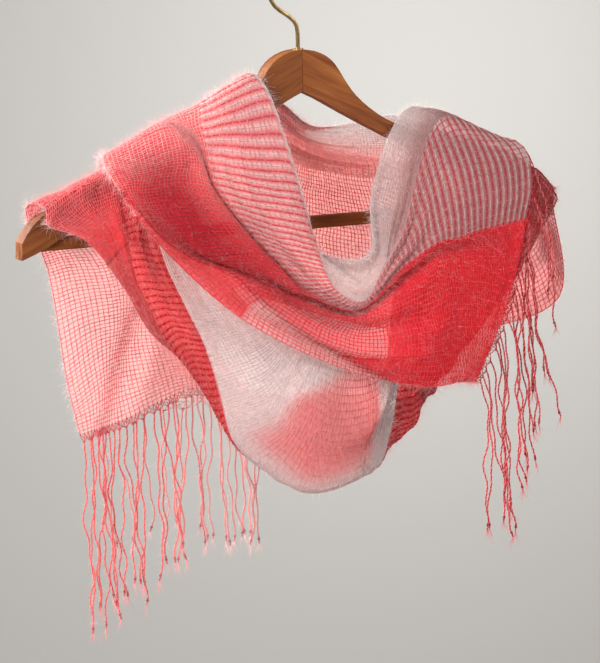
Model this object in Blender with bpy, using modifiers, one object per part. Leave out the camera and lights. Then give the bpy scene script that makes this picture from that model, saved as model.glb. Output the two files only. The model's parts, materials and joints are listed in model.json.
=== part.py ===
"""A hand-woven scarf draped over a contoured wooden clothes hanger with a brass swivel hook.

X runs along the hanger, -Y is its front and +Z is up. The origin is the highest point inside the hook,
where a rail carries it. Lengths are in metres; lists of control points are in millimetres.
"""

import math

import bmesh
import bpy
from mathutils import Matrix, Vector
from mathutils.geometry import interpolate_bezier

MM = 0.001

# Hanger
HALF_SPAN = 217.5
ARM_THICKNESS = 14.0
ARM_SWEEP = 15.0  # how far the tips sit behind the neck
ARM_EDGE = 2.2
MITRE_GAP = 0.3
MITRE_CUTTER = (40.0, 60.0, 80.0)
MITRE_CUTTER_DROP = 15.0
BAR_HEIGHT = 9.0
BAR_DEPTH = 9.0
BAR_EDGE = 1.0
BAR_Z = -199.5
BAR_END_X = 208.0
FIT = 0.3  # clearance between pieces that touch
NAIL_RADIUS = 0.8
NAIL_LENGTH = 12.0
NAIL_X = 203.0
NAIL_SINK = 1.2
NAIL_HOLE_EXTRA = 6.0

# Hook
WIRE_RADIUS = 1.6
HOOK_RADIUS = 23.5
HOOK_TIP_ANGLE = -20.0
WOOD_TOP = -69.6
BUSH_RADIUS = 4.0
BUSH_LENGTH = 14.0
RETAINER_RADIUS = 3.6
RETAINER_HEIGHT = 3.0
SHANK_END = WOOD_TOP - BUSH_LENGTH - RETAINER_HEIGHT - 0.9
BORE_DEPTH = 21.0
BORE_PROUD = 0.4
BUSH_PROUD = 0.6

# Scarf
CLOTH_THICKNESS = 2.0
ACROSS = (0.0, 0.17, 0.35, 0.47, 0.59, 0.80, 1.0)  # where the seven control points sit across the strip
CROSS_CELLS = 14
CELLS_PER_STATION = 3
SECTION_GAP = 3.8  # between neighbouring sections, along the strip
FACE_CLEARANCE = 0.8  # from the arm's face to the middle of the cloth where it turns over the edge
DROP_CLEARANCE = 4.5  # the same lower down
DROP_DEPTH = 9.0
STRAND_RADIUS = 1.0
STRAND_GAP = 2.0

# One arm of the hanger in the XZ plane, clockwise from the top of the mitre.
ARM_TOP = [
    (0, -69.6), (10, -71), (20, -75.5), (27, -82), (33.5, -92), (40, -101.5), (48, -110), (60, -119.5),
    (75, -128), (100, -137), (130, -146), (160, -156), (180, -165), (195, -173), (209, -185), (217, -197),
]
ARM_UNDERSIDE = [
    (217.5, -209.5), (198, -201), (178, -188.5), (150, -175), (110, -157.5), (70, -138), (34, -118.5),
    (14, -107), (0, -100.5),
]


def arm_top(x):
    """Height of the arm's upper edge at x, in millimetres."""
    x = abs(x)
    for (xa, za), (xb, zb) in zip(ARM_TOP, ARM_TOP[1:]):
        if x <= xb:
            return za + (zb - za) * (x - xa) / (xb - xa)
    return ARM_TOP[-1][1]


def arm_y(x):
    """Centre of the arm's thickness at x, in millimetres."""
    return ARM_SWEEP * (x / HALF_SPAN) ** 2


def crossing(along, loft, back_reach, back_lift, front_first=False):
    """Four stations that carry the strip over an arm, from the back to the front or the other way.

    The selvedge reaches back_reach further out and back_lift higher behind the arm than in front of it.
    """
    half = ARM_THICKNESS / 2
    stations = []
    low, high = half + DROP_CLEARANCE, half + FACE_CLEARANCE
    for y, dz in ((low, -DROP_DEPTH), (high, loft), (-high, loft), (-low, -DROP_DEPTH)):
        station = [(x, arm_y(x) + y, arm_top(x) + dz) for x in along]
        if y > 0:
            x, y, z = station[0]
            station[0] = (x + back_reach, y, z + back_lift)
        stations.append(station)
    if front_first:
        stations.reverse()
    return stations


# The strip's stations, each from the solid-red selvedge to the pale one, in millimetres.
TAIL_BACK_LEFT = [
    [(-170, 30, -344), (-136, 28, -336), (-82, 30, -318), (-30, 36, -334), (-28, 42, -336), (-94, 46, -330),
     (-154, 44, -338)],
    [(-178, 32, -302), (-146, 28, -284), (-100, 31, -284), (-60, 35, -294), (-56, 42, -296), (-96, 46, -290),
     (-132, 43, -306)],
    [(-190, 30, -224), (-160, 27, -222), (-122, 28, -220), (-88, 30, -224), (-80, 36, -224), (-92, 39, -224),
     (-104, 38, -232)],
]
LEFT_OUTER_ALONG = (-199, -180, -160, -144, -130, -116, -102)
COWL = [
    [(-176, -14, -196), (-166, -18, -194), (-152, -20, -192), (-138, -20, -196), (-126, -20, -200),
     (-106, -20, -200), (-86, -18, -198)],
    [(-152, -20, -230), (-146, -26, -228), (-136, -28, -228), (-122, -28, -234), (-110, -28, -240),
     (-84, -28, -244), (-60, -24, -248)],
    [(-124, -16, -272), (-122, -24, -270), (-116, -30, -268), (-106, -32, -272), (-92, -32, -276),
     (-62, -32, -276), (-34, -32, -268)],
    [(-66, -13, -308), (-82, -16, -316), (-92, -22, -316), (-86, -28, -318), (-78, -34, -316),
     (-48, -38, -310), (-14, -38, -282)],
    [(-24, -13, -324), (-44, -16, -344), (-60, -20, -358), (-68, -28, -356), (-66, -34, -348),
     (-38, -42, -336), (-8, -44, -288)],
    [(6, -13, -324), (-4, -14, -350), (-16, -18, -376), (-24, -24, -386), (-22, -32, -390), (-12, -44, -358),
     (10, -46, -292)],
    [(44, -13, -328), (42, -14, -352), (32, -16, -374), (26, -22, -384), (22, -30, -388), (26, -42, -354),
     (30, -44, -296)],
    [(92, -13, -318), (90, -14, -334), (80, -16, -352), (64, -22, -362), (50, -28, -362), (46, -36, -330),
     (50, -40, -292)],
    [(164, -7, -266), (142, -12, -276), (114, -17, -280), (92, -20, -280), (77, -24, -278), (67, -28, -266),
     (62, -28, -242)],
]
RIGHT_ALONG = (215, 198, 172, 150, 132, 112, 93)
NECK_BACK = [
    [(236, 38, -280), (220, 38, -244), (200, 36, -216), (182, 34, -194), (164, 32, -178), (140, 28, -156),
     (114, 24, -138)],
    [(146, 46, -298), (138, 46, -262), (128, 44, -228), (120, 42, -202), (110, 40, -182), (100, 34, -154),
     (92, 28, -126)],
    [(44, 50, -278), (44, 50, -244), (42, 48, -212), (40, 46, -188), (36, 42, -168), (32, 36, -148),
     (28, 30, -130)],
    [(-74, 50, -226), (-56, 48, -196), (-42, 44, -170), (-30, 40, -150), (-22, 35, -134), (-14, 30, -120),
     (-8, 24, -108)],
]
LEFT_SHOULDER = [
    [(-142, 32, -158), (-110, 30, -148), (-74, 26, -132), (-54, 24, -119), (-40, 22, -108), (-38, 18, -104),
     (-44, 16, -110)],
    [(-152, 8, -138), (-118, 4, -120), (-78, 2, -104), (-60, 0, -94), (-42, 0, -86), (-44, 0, -97),
     (-60, 0, -109)],
    [(-160, -16, -146), (-126, -18, -134), (-86, -20, -120), (-62, -20, -108), (-34, -18, -98),
     (-38, -12, -112), (-54, -12, -120)],
]
SWATH = [
    [(-150, -32, -170), (-124, -36, -162), (-90, -40, -160), (-54, -40, -164), (-18, -34, -166),
     (-32, -24, -170), (-50, -20, -172)],
    [(-122, -40, -210), (-104, -48, -202), (-74, -52, -200), (-40, -52, -206), (-8, -44, -212),
     (-14, -32, -208), (-28, -26, -204)],
    [(-74, -50, -256), (-66, -58, -242), (-46, -62, -236), (-22, -60, -238), (2, -54, -242), (20, -42, -238),
     (16, -34, -224)],
    [(-4, -56, -296), (-2, -62, -280), (6, -64, -264), (14, -62, -258), (24, -58, -252), (44, -48, -236),
     (38, -38, -216)],
    [(68, -50, -320), (70, -56, -282), (64, -56, -242), (60, -52, -226), (58, -48, -210), (58, -36, -186),
     (44, -28, -174)],
    [(108, -38, -322), (110, -42, -274), (106, -44, -218), (106, -40, -190), (104, -31, -160),
     (102, -9, -125), (92, 2, -118)],
    [(128, -28, -326), (158, -26, -266), (178, -20, -204), (186, -16, -182), (191, 0, -159), (180, 14, -148),
     (164, 30, -156)],
]

# Fringe: each strand's place across the strip, its length and how far it drifts forwards, in millimetres.
FRINGE_LEFT = [
    (0.01, 144, 5), (0.05, 140, -4), (0.09, 138, 6), (0.13, 136, -5), (0.17, 126, 4), (0.205, 138, 5),
    (0.24, 129, -4), (0.275, 135, 5), (0.31, 132, -6), (0.345, 138, 4), (0.375, 126, 5), (0.405, 131, -4),
    (0.43, 120, 5), (0.455, 125, -4), (0.60, 112, 5), (0.66, 118, -5), (0.72, 121, 4), (0.78, 116, -4),
]
FRINGE_RIGHT = [
    (0.01, 122, 4), (0.035, 98, -4), (0.06, 112, 6), (0.09, 128, -5), (0.12, 134, 5), (0.15, 138, -4),
    (0.18, 134, 5), (0.21, 140, -5), (0.24, 145, 4), (0.27, 128, -5), (0.30, 132, 6), (0.33, 126, -4),
    (0.36, 124, 5), (0.40, 116, -4), (0.45, 108, 5), (0.50, 98, -4),
]
STRAND_STEPS = 6
STRAND_SWAY = 1.5

STATIONS = (
    TAIL_BACK_LEFT
    + crossing(LEFT_OUTER_ALONG, 3.0, -8.0, 3.0)
    + COWL
    + crossing(RIGHT_ALONG, 2.8, 12.0, 0.0, front_first=True)
    + NECK_BACK
    + LEFT_SHOULDER
    + SWATH
)

# Each section of the strip: its name and the stations where it starts and ends.
SECTIONS = [
    ("scarf_tail_back_left", 0.0, 2.4),
    ("scarf_over_left_arm", 2.4, 6.6),
    ("scarf_cowl_left", 6.6, 10.0),
    ("scarf_cowl_bottom", 10.0, 13.4),
    ("scarf_cowl_right", 13.4, 15.6),
    ("scarf_over_right_arm", 15.6, 19.5),
    ("scarf_neck_back", 19.5, 22.6),
    ("scarf_over_left_shoulder", 22.6, 26.4),
    ("scarf_front_left", 26.4, 28.6),
    ("scarf_front_cross", 28.6, 31.0),
    ("scarf_end_right", 31.0, 33.0),
]


def hermite(p0, p1, p2, p3, t):
    """Point at t between p1 and p2 on the smooth curve through four points."""
    return 0.5 * (
        2 * p1 + (p2 - p0) * t + (2 * p0 - 5 * p1 + 4 * p2 - p3) * t * t + (3 * p1 - p0 - 3 * p2 + p3) * t**3
    )


def along_curve(points, place):
    """Point on the smooth curve through points, at a place counted in points from its start."""
    last = len(points) - 1
    i = min(max(int(place), 0), last - 1)
    before = points[i - 1] if i > 0 else 2 * points[0] - points[1]
    after = points[i + 2] if i + 2 <= last else 2 * points[last] - points[last - 1]
    return hermite(before, points[i], points[i + 1], after, place - i)


def across_place(v):
    """Place among the seven control points for a share v of the strip's width."""
    for i, (a, b) in enumerate(zip(ACROSS, ACROSS[1:])):
        if v <= b:
            return i + (v - a) / (b - a)
    return len(ACROSS) - 1.0


def cloth_point(station, v):
    """Point of the draped strip in metres."""
    i = min(max(int(station), 0), len(STATIONS) - 2)
    near = range(max(i - 1, 0), min(i + 3, len(STATIONS)))
    place = across_place(v)
    ribs = [along_curve([Vector(p) for p in STATIONS[k]], place) for k in near]
    return along_curve(ribs, station - near[0]) * MM


def material(name, colour, roughness, metallic=0.0):
    mat = bpy.data.materials.new(name)
    mat.use_nodes = True
    shader = mat.node_tree.nodes["Principled BSDF"]
    shader.inputs["Base Color"].default_value = (*colour, 1.0)
    shader.inputs["Roughness"].default_value = roughness
    shader.inputs["Metallic"].default_value = metallic
    mat.diffuse_color = (*colour, 1.0)
    return mat


def add_object(name, data, mat, collection, parent=None):
    obj = bpy.data.objects.new(name, data)
    collection.objects.link(obj)
    if mat is not None:
        obj.data.materials.append(mat)
    obj.parent = parent
    return obj


def modifier(obj, kind, **settings):
    mod = obj.modifiers.new(kind.title(), kind)
    for key, value in settings.items():
        setattr(mod, key, value)
    return mod


def cut(obj, cutter):
    modifier(obj, "BOOLEAN", operation="DIFFERENCE", solver="EXACT", object=cutter)


def primitive_cutter(name, cutters):
    """Files the primitive that was just added among the cutters."""
    obj = bpy.context.object
    obj.name = name
    for coll in list(obj.users_collection):
        coll.objects.unlink(obj)
    cutters.objects.link(obj)
    obj.hide_render = True
    obj.display_type = "WIRE"
    return obj


def cylinder(radius, depth, location, rotation=(0, 0, 0), vertices=24):
    bpy.ops.mesh.primitive_cylinder_add(
        vertices=vertices, radius=radius * MM, depth=depth * MM,
        location=[c * MM for c in location], rotation=rotation,
    )
    return bpy.context.object


def box(size, location):
    bpy.ops.mesh.primitive_cube_add(size=1, location=[c * MM for c in location])
    obj = bpy.context.object
    obj.scale = [s * MM for s in size]
    return obj


def file_part(obj, name, mat, parts, parent=None):
    """Names a primitive that was just added and files it among the parts."""
    obj.name = name
    obj.data.name = name
    for coll in list(obj.users_collection):
        coll.objects.unlink(obj)
    parts.objects.link(obj)
    obj.data.materials.append(mat)
    obj.parent = parent
    return obj


def flat_outline(name, points, depth):
    """Mesh of a closed outline in the XZ plane, extruded to depth about y = 0; both in millimetres."""
    curve = bpy.data.curves.new(name, "CURVE")
    curve.dimensions = "2D"
    curve.fill_mode = "BOTH"
    curve.extrude = depth * MM / 2
    spline = curve.splines.new("POLY")
    spline.points.add(len(points) - 1)
    for target, (x, z) in zip(spline.points, points):
        target.co = (x * MM, z * MM, 0, 1)
    spline.use_cyclic_u = True
    holder = bpy.data.objects.new(name, curve)
    mesh = bpy.data.meshes.new_from_object(holder)
    bpy.data.objects.remove(holder)
    mesh.transform(Matrix.Rotation(math.radians(90), 4, "X"))
    weld(mesh)
    return mesh


def weld(mesh):
    """Joins the doubled vertices that a converted curve has along its caps."""
    work = bmesh.new()
    work.from_mesh(mesh)
    bmesh.ops.remove_doubles(work, verts=work.verts, dist=1e-6)
    bmesh.ops.recalc_face_normals(work, faces=work.faces)
    work.to_mesh(mesh)
    work.free()


def smooth_outline(points, pieces=2):
    """More points along an open outline, on a smooth curve through the given ones."""
    vectors = [Vector((x, z)) for x, z in points]
    steps = (len(points) - 1) * pieces
    return [tuple(along_curve(vectors, i / pieces)) for i in range(steps + 1)]


def arm_mesh(name, side):
    """One arm of the hanger, swept back towards its tip; side is -1 for the left arm and 1 for the right."""
    past_mitre = 8.0
    outline = smooth_outline(ARM_TOP) + smooth_outline(ARM_UNDERSIDE)
    outline += [(-past_mitre, ARM_UNDERSIDE[-1][1]), (-past_mitre, ARM_TOP[0][1])]
    mesh = flat_outline(name, [(side * x, z) for x, z in outline], ARM_THICKNESS)
    for vertex in mesh.vertices:
        vertex.co.y += arm_y(max(side * vertex.co.x / MM, 0)) * MM
    return mesh


def build_hanger(parts, cutters, root):
    wood = {-1: material("arm_wood_left", (0.45, 0.22, 0.09), 0.45),
            1: material("arm_wood_right", (0.42, 0.20, 0.08), 0.45)}
    bar_wood = material("bar_wood", (0.40, 0.21, 0.10), 0.5)
    steel = material("nail_steel", (0.5, 0.48, 0.45), 0.35, 1.0)
    box((2 * BAR_END_X + 2 * FIT, BAR_DEPTH + 2 * FIT, BAR_HEIGHT + 2 * FIT), (0, bar_y(), BAR_Z))
    bar_pocket = primitive_cutter("bar_pocket", cutters)
    cylinder(BUSH_RADIUS + FIT, BORE_DEPTH, (0, 0, WOOD_TOP - BORE_DEPTH / 2 + BORE_PROUD))
    bore = primitive_cutter("hook_bore", cutters)
    bar = file_part(box((2 * BAR_END_X, BAR_DEPTH, BAR_HEIGHT), (0, bar_y(), BAR_Z)),
                    "trouser_bar", bar_wood, parts, root)
    modifier(bar, "BEVEL", width=BAR_EDGE * MM, segments=1, limit_method="ANGLE")
    bar.data.transform(Matrix.Diagonal((*bar.scale, 1)))
    bar.scale = (1, 1, 1)
    for side, label in ((-1, "left"), (1, "right")):
        arm = add_object(f"hanger_arm_{label}", arm_mesh(f"hanger_arm_{label}", side), wood[side], parts, root)
        modifier(arm, "BEVEL", width=ARM_EDGE * MM, segments=2, limit_method="ANGLE",
                 angle_limit=math.radians(60))
        box(MITRE_CUTTER, (-side * (MITRE_CUTTER[0] - MITRE_GAP) / 2, 0, WOOD_TOP - MITRE_CUTTER_DROP))
        cut(arm, primitive_cutter(f"mitre_{label}", cutters))
        cut(arm, bar_pocket)
        cut(arm, bore)
        nail_at = (side * NAIL_X, bar_y() + (ARM_THICKNESS - NAIL_LENGTH) / 2 - NAIL_SINK, BAR_Z)
        sideways = (math.radians(90), 0, 0)
        hole_y = nail_at[1] + NAIL_HOLE_EXTRA / 2 - FIT
        cylinder(NAIL_RADIUS + FIT, NAIL_LENGTH + NAIL_HOLE_EXTRA, (nail_at[0], hole_y, BAR_Z), sideways, 12)
        nail_hole = primitive_cutter(f"nail_hole_{label}", cutters)
        cut(arm, nail_hole)
        cut(bar, nail_hole)
        file_part(cylinder(NAIL_RADIUS, NAIL_LENGTH - FIT, nail_at, sideways, 12),
                  f"bar_nail_{label}", steel, parts, root)


def bar_y():
    return arm_y(BAR_END_X) - 1.0


def hook_path():
    """Centre line of the hook's wire, from the foot of the shank to the tip."""
    centre = Vector((0, 0, WIRE_RADIUS - HOOK_RADIUS))
    start_angle = 212.0
    turns = 22
    arc = []
    for i in range(turns + 1):
        angle = math.radians(start_angle + (HOOK_TIP_ANGLE - start_angle) * i / turns)
        arc.append(centre + HOOK_RADIUS * Vector((math.cos(angle), 0, math.sin(angle))))
    shank_top = Vector((0, 0, WOOD_TOP + 13))
    leaving = (arc[1] - arc[0]).normalized()
    bend = interpolate_bezier(shank_top, shank_top + Vector((0, 0, 12)), arc[0] - leaving * 10, arc[0], 8)
    return [Vector((0, 0, SHANK_END)), Vector((0, 0, WOOD_TOP - 5)), *bend[:-1], *arc]


def tube(name, path, radius, mat, parts, parent, resolution=2):
    """Closed tube along a path in millimetres."""
    curve = bpy.data.curves.new(name, "CURVE")
    curve.dimensions = "3D"
    curve.bevel_depth = radius * MM
    curve.bevel_resolution = resolution
    curve.use_fill_caps = True
    spline = curve.splines.new("POLY")
    spline.points.add(len(path) - 1)
    for target, point in zip(spline.points, path):
        target.co = (*(point * MM), 1)
    return add_object(name, curve, mat, parts, parent)


def ring(name, inner, outer, height, top, mat, parts, parent):
    """Turned ring about the shank, its top face at a height in millimetres."""
    mesh = bpy.data.meshes.new(name)
    corners = [(inner, top), (outer, top), (outer, top - height), (inner, top - height)]
    mesh.from_pydata([(r * MM, 0, z * MM) for r, z in corners], [(0, 1), (1, 2), (2, 3), (3, 0)], [])
    obj = add_object(name, mesh, mat, parts, parent)
    modifier(obj, "SCREW", steps=24, render_steps=24, merge_threshold=1e-5, use_merge_vertices=True,
             use_normal_calculate=True, use_normal_flip=True)
    return obj


def build_hook(parts, root):
    brass = material("hook_brass", (0.60, 0.42, 0.18), 0.28, 1.0)
    tube("hook", hook_path(), WIRE_RADIUS, brass, parts, root)
    ring("hook_bushing", WIRE_RADIUS + FIT, BUSH_RADIUS, BUSH_LENGTH, WOOD_TOP + BUSH_PROUD,
         material("bushing_brass", (0.55, 0.38, 0.16), 0.35, 1.0), parts, root)
    ring("hook_retainer", WIRE_RADIUS + FIT, RETAINER_RADIUS, RETAINER_HEIGHT,
         WOOD_TOP + BUSH_PROUD - BUSH_LENGTH - FIT,
         material("retainer_steel", (0.5, 0.5, 0.5), 0.4, 1.0), parts, root)


def section_mesh(name, start, end):
    """A plain sheet between two stations, made from a grid."""
    rows = max(3, round((end - start) * CELLS_PER_STATION))
    work = bmesh.new()
    bmesh.ops.create_grid(work, x_segments=rows, y_segments=CROSS_CELLS, size=0.5)
    for vertex in work.verts:
        station = start + (end - start) * (vertex.co.x + 0.5)
        vertex.co = cloth_point(station, vertex.co.y + 0.5)
    mesh = bpy.data.meshes.new(name)
    work.to_mesh(mesh)
    work.free()
    return mesh


def station_share(station):
    """How many stations one millimetre along the strip's middle is, at a station."""
    here = cloth_point(min(station, len(STATIONS) - 1.05), 0.4)
    return 0.05 / ((cloth_point(min(station, len(STATIONS) - 1.05) + 0.05, 0.4) - here).length / MM)


def build_scarf(parts, root):
    red = (0.62, 0.05, 0.07)
    blush = (0.78, 0.36, 0.36)
    for i, (name, start, end) in enumerate(SECTIONS):
        colour = [a + (b - a) * (i % 3) / 3 for a, b in zip(red, blush)]
        gap = SECTION_GAP / 2
        sheet = section_mesh(name, start + gap * station_share(start), end - gap * station_share(end))
        obj = add_object(name, sheet, material(name + "_cloth", colour, 0.9), parts, root)
        modifier(obj, "SOLIDIFY", thickness=CLOTH_THICKNESS * MM, offset=0.0)


def strand_path(root_point, length, spread):
    """A hanging strand that starts just below its root, in millimetres."""
    top = root_point - Vector((0, 0, STRAND_GAP))
    path = []
    for i in range(STRAND_STEPS + 1):
        t = i / STRAND_STEPS
        sway = STRAND_SWAY * math.sin(2.2 * math.pi * t)
        path.append(top + Vector((sway, spread * math.sin(0.5 * math.pi * t), -length * t)))
    return path


def build_fringe(parts, root):
    looks = {
        "left": material("fringe_left_yarn", (0.80, 0.36, 0.38), 0.9),
        "right": material("fringe_right_yarn", (0.60, 0.07, 0.10), 0.9),
    }
    ends = {"left": (0, FRINGE_LEFT), "right": (len(STATIONS) - 1, FRINGE_RIGHT)}
    for label, (station, strands) in ends.items():
        for i, (v, length, spread) in enumerate(strands):
            top = cloth_point(station, v) / MM
            tube(f"fringe_{label}_{i + 1:02d}", strand_path(top, length, spread), STRAND_RADIUS, looks[label],
                 parts, root, resolution=0)


def main():
    for obj in list(bpy.data.objects):
        bpy.data.objects.remove(obj)
    parts = bpy.data.collections.new("scarf_on_hanger")
    cutters = bpy.data.collections.new("cutters")
    bpy.context.scene.collection.children.link(parts)
    bpy.context.scene.collection.children.link(cutters)
    root = bpy.data.objects.new("hanging_point", None)
    parts.objects.link(root)
    build_hanger(parts, cutters, root)
    build_hook(parts, root)
    build_scarf(parts, root)
    build_fringe(parts, root)


main()
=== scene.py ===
"""The looks of the woven scarf on its hanger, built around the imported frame.

The hanger's outline and the strip's control stations are the ones in part.py, in millimetres.
Everything else here is in metres.
"""

import json
import math

import bpy
import numpy as np
from mathutils import Matrix, Vector


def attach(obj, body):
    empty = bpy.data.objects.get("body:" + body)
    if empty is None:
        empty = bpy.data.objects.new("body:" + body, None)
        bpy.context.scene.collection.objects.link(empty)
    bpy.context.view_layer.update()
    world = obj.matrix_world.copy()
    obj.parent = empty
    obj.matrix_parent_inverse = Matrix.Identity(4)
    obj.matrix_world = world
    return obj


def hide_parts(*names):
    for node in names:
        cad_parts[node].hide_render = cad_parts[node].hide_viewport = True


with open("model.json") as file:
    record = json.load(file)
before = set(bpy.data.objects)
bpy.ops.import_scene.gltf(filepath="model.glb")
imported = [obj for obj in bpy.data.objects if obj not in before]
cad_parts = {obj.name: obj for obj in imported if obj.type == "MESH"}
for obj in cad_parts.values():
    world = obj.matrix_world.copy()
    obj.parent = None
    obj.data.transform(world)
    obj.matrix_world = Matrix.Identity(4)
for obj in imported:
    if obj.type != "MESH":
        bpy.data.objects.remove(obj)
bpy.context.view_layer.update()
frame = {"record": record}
RNG = np.random.default_rng(7)
MM = 0.001

# ---------------------------------------------------------------- the hanger, as in part.py, in millimetres
HALF_SPAN = 217.5
ARM_THICKNESS = 14.0
ARM_SWEEP = 15.0
FACE_CLEARANCE = 0.8  # from the arm's face to the middle of the cloth where it turns over the edge
DROP_CLEARANCE = 4.5  # the same lower down
DROP_DEPTH = 9.0
ARM_TOP = [
    (0, -69.6), (10, -71), (20, -75.5), (27, -82), (33.5, -92), (40, -101.5), (48, -110), (60, -119.5),
    (75, -128), (100, -137), (130, -146), (160, -156), (180, -165), (195, -173), (209, -185), (217, -197),
]


def arm_top(x):
    """Height of the arm's upper edge at x."""
    xs, zs = zip(*ARM_TOP)
    return float(np.interp(abs(x), xs, zs))


def arm_y(x):
    """Centre of the arm's thickness at x."""
    return ARM_SWEEP * (x / HALF_SPAN) ** 2


def crossing(along, loft, back_reach, back_lift, front_first=False):
    """Four stations that carry the strip over an arm, from the back to the front or the other way."""
    half = ARM_THICKNESS / 2
    stations = []
    low, high = half + DROP_CLEARANCE, half + FACE_CLEARANCE
    for y, dz in ((low, -DROP_DEPTH), (high, loft), (-high, loft), (-low, -DROP_DEPTH)):
        station = [(x, arm_y(x) + y, arm_top(x) + dz) for x in along]
        if y > 0:
            x, y, z = station[0]
            station[0] = (x + back_reach, y, z + back_lift)
        stations.append(station)
    if front_first:
        stations.reverse()
    return stations


# ---------------------------------------------------------------- the drape, as in part.py, in millimetres
TAIL_BACK_LEFT = [
    [(-170, 30, -344), (-136, 28, -336), (-82, 30, -318), (-30, 36, -334), (-28, 42, -336), (-94, 46, -330),
     (-154, 44, -338)],
    [(-178, 32, -302), (-146, 28, -284), (-100, 31, -284), (-60, 35, -294), (-56, 42, -296), (-96, 46, -290),
     (-132, 43, -306)],
    [(-190, 30, -224), (-160, 27, -222), (-122, 28, -220), (-88, 30, -224), (-80, 36, -224), (-92, 39, -224),
     (-104, 38, -232)],
]
LEFT_OUTER_ALONG = (-199, -180, -160, -144, -130, -116, -102)
COWL = [
    [(-176, -14, -196), (-166, -18, -194), (-152, -20, -192), (-138, -20, -196), (-126, -20, -200),
     (-106, -20, -200), (-86, -18, -198)],
    [(-152, -20, -230), (-146, -26, -228), (-136, -28, -228), (-122, -28, -234), (-110, -28, -240),
     (-84, -28, -244), (-60, -24, -248)],
    [(-124, -16, -272), (-122, -24, -270), (-116, -30, -268), (-106, -32, -272), (-92, -32, -276),
     (-62, -32, -276), (-34, -32, -268)],
    [(-66, -13, -308), (-82, -16, -316), (-92, -22, -316), (-86, -28, -318), (-78, -34, -316),
     (-48, -38, -310), (-14, -38, -282)],
    [(-24, -13, -324), (-44, -16, -344), (-60, -20, -358), (-68, -28, -356), (-66, -34, -348),
     (-38, -42, -336), (-8, -44, -288)],
    [(6, -13, -324), (-4, -14, -350), (-16, -18, -376), (-24, -24, -386), (-22, -32, -390), (-12, -44, -358),
     (10, -46, -292)],
    [(44, -13, -328), (42, -14, -352), (32, -16, -374), (26, -22, -384), (22, -30, -388), (26, -42, -354),
     (30, -44, -296)],
    [(92, -13, -318), (90, -14, -334), (80, -16, -352), (64, -22, -362), (50, -28, -362), (46, -36, -330),
     (50, -40, -292)],
    [(164, -7, -266), (142, -12, -276), (114, -17, -280), (92, -20, -280), (77, -24, -278), (67, -28, -266),
     (62, -28, -242)],
]
RIGHT_ALONG = (215, 198, 172, 150, 132, 112, 93)
NECK_BACK = [
    [(236, 38, -280), (220, 38, -244), (200, 36, -216), (182, 34, -194), (164, 32, -178), (140, 28, -156),
     (114, 24, -138)],
    [(146, 46, -298), (138, 46, -262), (128, 44, -228), (120, 42, -202), (110, 40, -182), (100, 34, -154),
     (92, 28, -126)],
    [(44, 50, -278), (44, 50, -244), (42, 48, -212), (40, 46, -188), (36, 42, -168), (32, 36, -148),
     (28, 30, -130)],
    [(-74, 50, -226), (-56, 48, -196), (-42, 44, -170), (-30, 40, -150), (-22, 35, -134), (-14, 30, -120),
     (-8, 24, -108)],
]
LEFT_SHOULDER = [
    [(-142, 32, -158), (-110, 30, -148), (-74, 26, -132), (-54, 24, -119), (-40, 22, -108), (-38, 18, -104),
     (-44, 16, -110)],
    [(-152, 8, -138), (-118, 4, -120), (-78, 2, -104), (-60, 0, -94), (-42, 0, -86), (-44, 0, -97),
     (-60, 0, -109)],
    [(-160, -16, -146), (-126, -18, -134), (-86, -20, -120), (-62, -20, -108), (-34, -18, -98),
     (-38, -12, -112), (-54, -12, -120)],
]
SWATH = [
    [(-150, -32, -170), (-124, -36, -162), (-90, -40, -160), (-54, -40, -164), (-18, -34, -166),
     (-32, -24, -170), (-50, -20, -172)],
    [(-122, -40, -210), (-104, -48, -202), (-74, -52, -200), (-40, -52, -206), (-8, -44, -212),
     (-14, -32, -208), (-28, -26, -204)],
    [(-74, -50, -256), (-66, -58, -242), (-46, -62, -236), (-22, -60, -238), (2, -54, -242), (20, -42, -238),
     (16, -34, -224)],
    [(-4, -56, -296), (-2, -62, -280), (6, -64, -264), (14, -62, -258), (24, -58, -252), (44, -48, -236),
     (38, -38, -216)],
    [(68, -50, -320), (70, -56, -282), (64, -56, -242), (60, -52, -226), (58, -48, -210), (58, -36, -186),
     (44, -28, -174)],
    [(108, -38, -322), (110, -42, -274), (106, -44, -218), (106, -40, -190), (104, -31, -160),
     (102, -9, -125), (92, 2, -118)],
    [(128, -28, -326), (158, -26, -266), (178, -20, -204), (186, -16, -182), (191, 0, -159), (180, 14, -148),
     (164, 30, -156)],
]
STATIONS = np.array(
    TAIL_BACK_LEFT
    + crossing(LEFT_OUTER_ALONG, 3.0, -8.0, 3.0)
    + COWL
    + crossing(RIGHT_ALONG, 2.8, 12.0, 0.0, front_first=True)
    + NECK_BACK
    + LEFT_SHOULDER
    + SWATH,
    dtype=float,
) * MM
LAST = len(STATIONS) - 1
OVER_LEFT_ARM, OVER_RIGHT_ARM, OVER_LEFT_SHOULDER = 4.5, 17.5, 25.0  # the stations on the crests

# ---------------------------------------------------------------- the weave
# A table of (station, value) runs along the strip, with stations counted from the back-left tail. A share
# of the width counts from the selvedge of the solid red band.
FLAT_WIDTH, FLAT_LENGTH = 0.206, 1.54
RED_EDGE, PALE_EDGE = 0.46, 0.72  # the striped band lies between these shares of the width

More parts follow.
